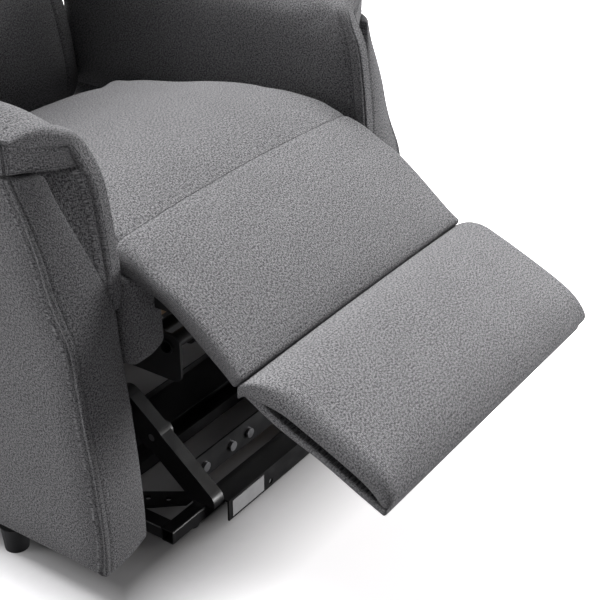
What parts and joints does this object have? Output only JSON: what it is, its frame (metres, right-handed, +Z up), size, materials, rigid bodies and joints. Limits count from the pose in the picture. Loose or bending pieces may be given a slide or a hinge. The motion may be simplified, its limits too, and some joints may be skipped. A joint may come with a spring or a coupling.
{
  "type": "lift recliner chair",
  "caption": "Upholstered lift recliner chair on a steel lift base, with a folding footrest, reclining back, side pockets and a handset.",
  "frame": {"origin": "On the floor, at the middle of the overall box at rest, with the footrest out, back upright and lift down.", "axes": "+X to the sitter's left, +Y to the rear, +Z up. The footrest points along -Y."},
  "size_m": [0.816, 1.2341, 1.0585],
  "materials": {
    "linen_fabric": "mid-grey linen weave with light and dark threads",
    "black_steel": "black satin powder coat",
    "plywood": "bare plywood",
    "black_plastic": "black moulded plastic, fine grain",
    "rod_steel": "ground steel rod",
    "actuator_aluminium": "satin extruded tube",
    "zinc_bolts": "zinc-plated, slightly worn",
    "spring_steel": "oiled spring wire",
    "blank_label": "blank grey label",
    "button_rubber": "soft dark grey rubber"
  },
  "bodies": {
    "base": {"base_side_tubes": "black_steel", "base_front_tube": "black_steel", "base_rear_tube": "black_steel", "base_cross_channel": "black_steel", "base_tray": "black_steel", "base_front_plate": "black_steel", "base_rating_plate": "blank_label", "base_tie_plate": "black_steel", "base_tie_bolts": "zinc_bolts", "base_risers": "black_steel", "base_gussets": "black_steel", "base_motor_bracket": "black_steel", "base_glides": "black_plastic", "base_pivot_bolts": "zinc_bolts"},
    "lift_arms": {"lift_links": "black_steel", "lift_cross_tube": "black_steel"},
    "lower_arms": {"lower_links": "black_steel"},
    "lift_drive": {"lift_motor": "black_plastic", "lift_actuator_tube": "actuator_aluminium"},
    "lift_rod": {"lift_actuator_rod": "rod_steel"},
    "chair": {"frame_side_plates": "black_steel", "frame_outriggers": "black_steel", "frame_cross_tubes": "black_steel", "link_hangers": "black_steel", "chair_pivot_bolts": "zinc_bolts", "footrest_hinge_brackets": "black_steel", "seat_side_rails": "plywood", "seat_cross_rails": "plywood", "seat_springs": "spring_steel", "control_box": "black_plastic", "seat_cushion": "linen_fabric", "seat_cheeks": "linen_fabric", "arm_shells": "linen_fabric", "arm_frames": "plywood", "arm_pads": "linen_fabric", "arm_feet": "black_plastic", "side_pockets": "linen_fabric"},
    "back": {"back_hinge_plates": "black_steel", "back_side_rails": "plywood", "back_cross_rails": "plywood", "back_crank": "black_steel", "lumbar_cushion": "linen_fabric", "middle_cushion": "linen_fabric", "head_cushion": "linen_fabric", "back_panel": "linen_fabric"},
    "back_drive": {"back_motor": "black_plastic", "back_actuator_tube": "actuator_aluminium"},
    "back_rod": {"back_actuator_rod": "rod_steel"},
    "torque": {"torque_tube": "black_steel"},
    "footrest": {"calf_pad": "linen_fabric", "footrest_pad": "linen_fabric", "footrest_board": "plywood", "footrest_arms": "black_steel", "footrest_cross_tube": "black_steel"},
    "push": {"push_links": "black_steel"},
    "handset": {"handset_case": "black_plastic"},
    "button_up": {"handset_button_up": "button_rubber"},
    "button_down": {"handset_button_down": "button_rubber"},
    "button_back": {"handset_button_back": "button_rubber"},
    "button_foot": {"handset_button_foot": "button_rubber"}
  },
  "joints": [
    {"name": "lift", "type": "hinge", "parent": "base", "child": "lift_arms", "pos_m": [0, -0.12, 0.15], "axis": [1, 0, 0], "range_deg": [0, 52]},
    {"name": "chair_tilt", "type": "hinge", "parent": "lift_arms", "child": "chair", "pos_m": [0, 0.18, 0.125], "axis": [1, 0, 0], "range_deg": [-28.5, 0]},
    {"name": "lower_link_turn", "type": "hinge", "parent": "base", "child": "lower_arms", "pos_m": [0, -0.166, 0.113], "axis": [1, 0, 0], "range_deg": [0, 61.94]},
    {"name": "lift_motor_turn", "type": "hinge", "parent": "base", "child": "lift_drive", "pos_m": [0, 0.18, 0.075], "axis": [1, 0, 0], "range_deg": [0, 7.39]},
    {"name": "lift_rod_slide", "type": "slide", "parent": "lift_drive", "child": "lift_rod", "axis": [0, -0.8346, 0.5508], "range_m": [0, 0.0816]},
    {"name": "recline", "type": "hinge", "parent": "chair", "child": "back", "pos_m": [0, 0.35, 0.33], "axis": [-1, 0, 0], "range_deg": [0, 30]},
    {"name": "back_motor_turn", "type": "hinge", "parent": "chair", "child": "back_drive", "pos_m": [0, 0.05, 0.28], "axis": [1, 0, 0], "range_deg": [-4.71, 0]},
    {"name": "back_rod_slide", "type": "slide", "parent": "back_drive", "child": "back_rod", "axis": [0, 0.9965, -0.083], "range_m": [-0.0464, 0]},
    {"name": "footrest_fold", "type": "hinge", "parent": "chair", "child": "footrest", "pos_m": [0, -0.315, 0.387], "axis": [1, 0, 0], "range_deg": [0, 64]},
    {"name": "torque_tube_turn", "type": "hinge", "parent": "chair", "child": "torque", "pos_m": [0, -0.22, 0.292], "axis": [1, 0, 0], "range_deg": [0, 64.5]},
    {"name": "push_link_turn", "type": "hinge", "parent": "footrest", "child": "push", "pos_m": [0, -0.363, 0.335], "axis": [1, 0, 0], "range_deg": [-64.5, 0]},
    {"name": "handset_lift", "type": "slide", "parent": "chair", "child": "handset", "axis": [0, 0, 1], "range_m": [0, 0.15]},
    {"name": "button_up_press", "type": "slide", "parent": "handset", "child": "button_up", "axis": [1, 0, 0], "range_m": [0, 0.0012], "stiffness_N_per_m": 400, "springref_m": -0.0008},
    {"name": "button_down_press", "type": "slide", "parent": "handset", "child": "button_down", "axis": [1, 0, 0], "range_m": [0, 0.0012], "stiffness_N_per_m": 400, "springref_m": -0.0008},
    {"name": "button_back_press", "type": "slide", "parent": "handset", "child": "button_back", "axis": [1, 0, 0], "range_m": [0, 0.0012], "stiffness_N_per_m": 400, "springref_m": -0.0008},
    {"name": "button_foot_press", "type": "slide", "parent": "handset", "child": "button_foot", "axis": [1, 0, 0], "range_m": [0, 0.0012], "stiffness_N_per_m": 400, "springref_m": -0.0008}
  ],
  "couplings": [
    {"joint": "chair_tilt", "follows": "lift", "ratio": -0.53846},
    {"joint": "lower_link_turn", "follows": "lift", "ratio": 1.1815},
    {"joint": "lift_motor_turn", "follows": "lift", "ratio": 0.13259},
    {"joint": "lift_rod_slide", "follows": "lift", "m_per_rad": 0.08884},
    {"joint": "back_motor_turn", "follows": "recline", "ratio": -0.14045},
    {"joint": "back_rod_slide", "follows": "recline", "m_per_rad": -0.086741},
    {"joint": "torque_tube_turn", "follows": "footrest_fold", "ratio": 1},
    {"joint": "push_link_turn", "follows": "footrest_fold", "ratio": -1}
  ]
}
